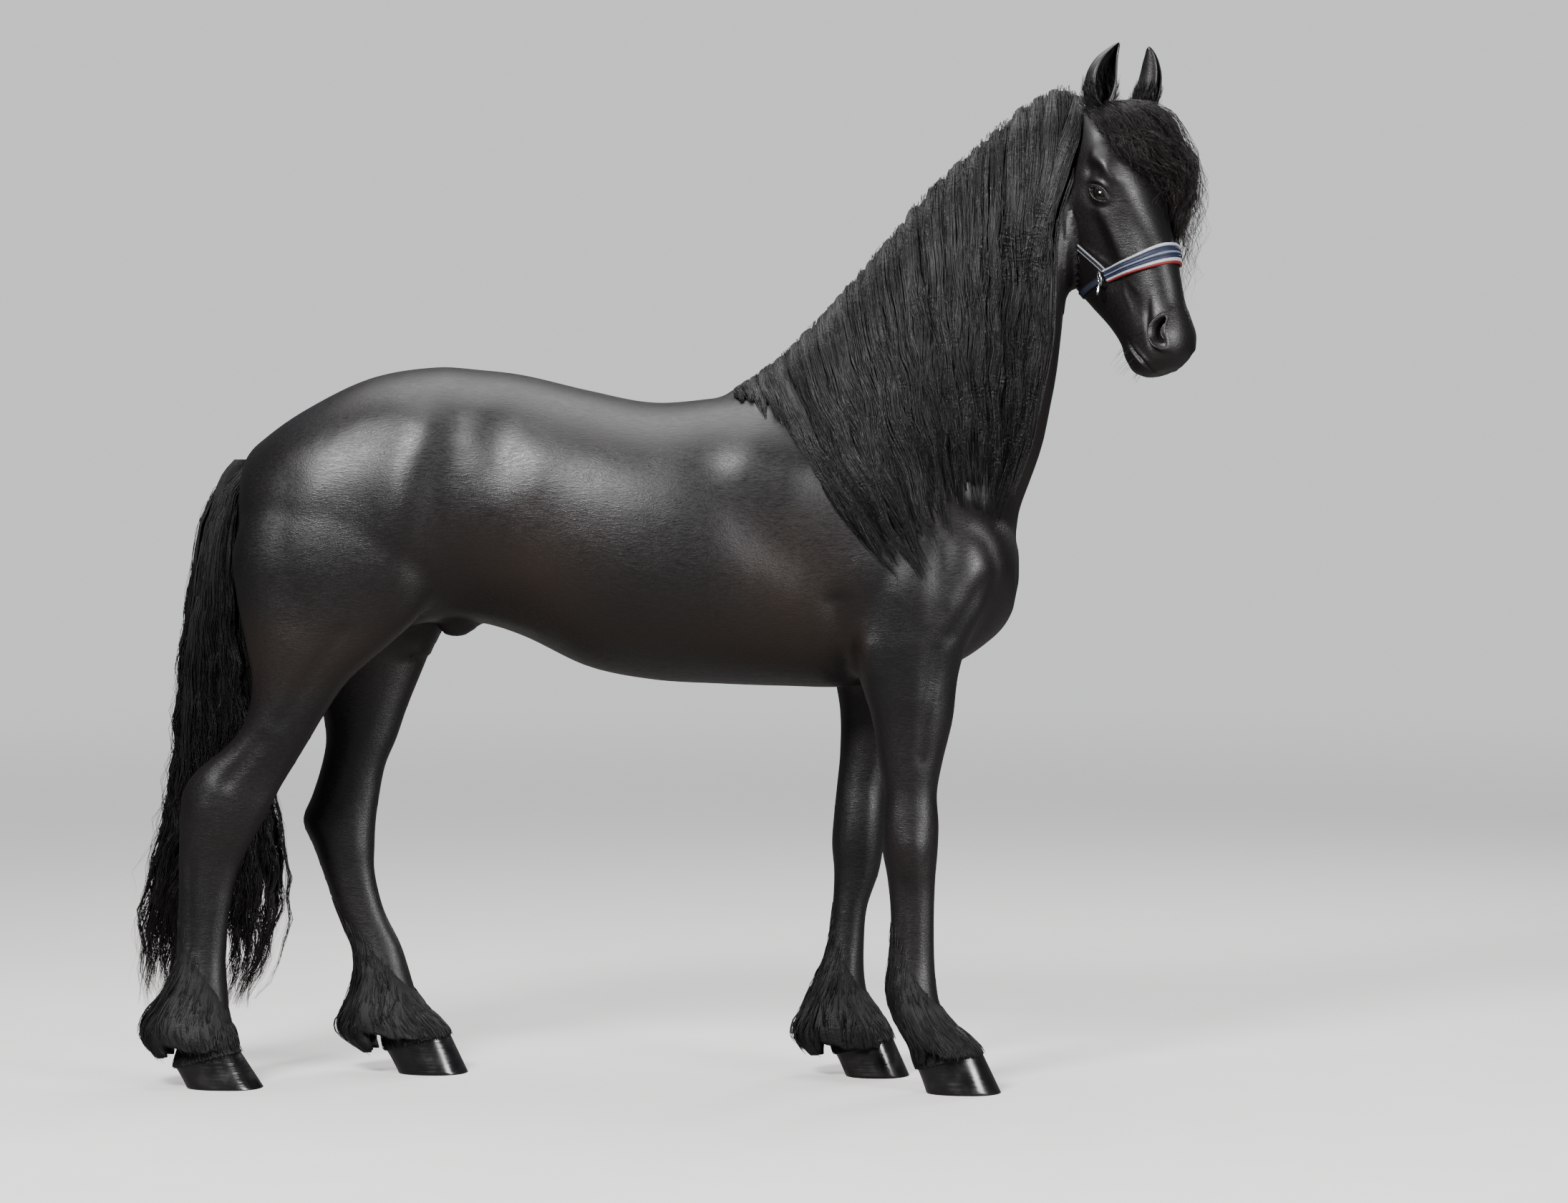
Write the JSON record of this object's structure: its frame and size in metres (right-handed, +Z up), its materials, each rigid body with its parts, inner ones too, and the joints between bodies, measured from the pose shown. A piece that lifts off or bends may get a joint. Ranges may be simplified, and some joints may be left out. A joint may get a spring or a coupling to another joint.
{
  "type": "friesian horse",
  "caption": "Life-size standing Friesian horse, black, head turned to its right, with long mane, forelock, tail and leg feather, wearing a plain noseband.",
  "frame": {"origin": "on the floor under the middle of the whole horse's box", "axes": "+X forward along the body, +Y to the horse's left, +Z up"},
  "size_m": [2.3879, 0.6074, 2.3755],
  "materials": {
    "coat": "short glossy hair",
    "long_hair": "long wavy hair",
    "hoof_horn": "oiled horn",
    "eye": "wet and glossy",
    "navy_webbing": "padded webbing with pale piping",
    "steel": "polished"
  },
  "bodies": {
    "root": {"torso": "coat", "neck": "coat", "head": "coat", "tail": "long_hair", "noseband": "navy_webbing", "chin_strap": "navy_webbing", "ear_right": "coat", "eye_right": "eye", "ring_right": "steel", "cheekpiece_right": "navy_webbing", "foreleg_right_upper": "coat", "foreleg_right_lower": "coat", "hindleg_right_upper": "coat", "hindleg_right_lower": "coat", "hoof_fore_right": "hoof_horn", "hoof_hind_right": "hoof_horn", "ear_left": "coat", "eye_left": "eye", "ring_left": "steel", "cheekpiece_left": "navy_webbing", "foreleg_left_upper": "coat", "foreleg_left_lower": "coat", "hindleg_left_upper": "coat", "hindleg_left_lower": "coat", "hoof_fore_left": "hoof_horn", "hoof_hind_left": "hoof_horn"}
  },
  "joints": []
}
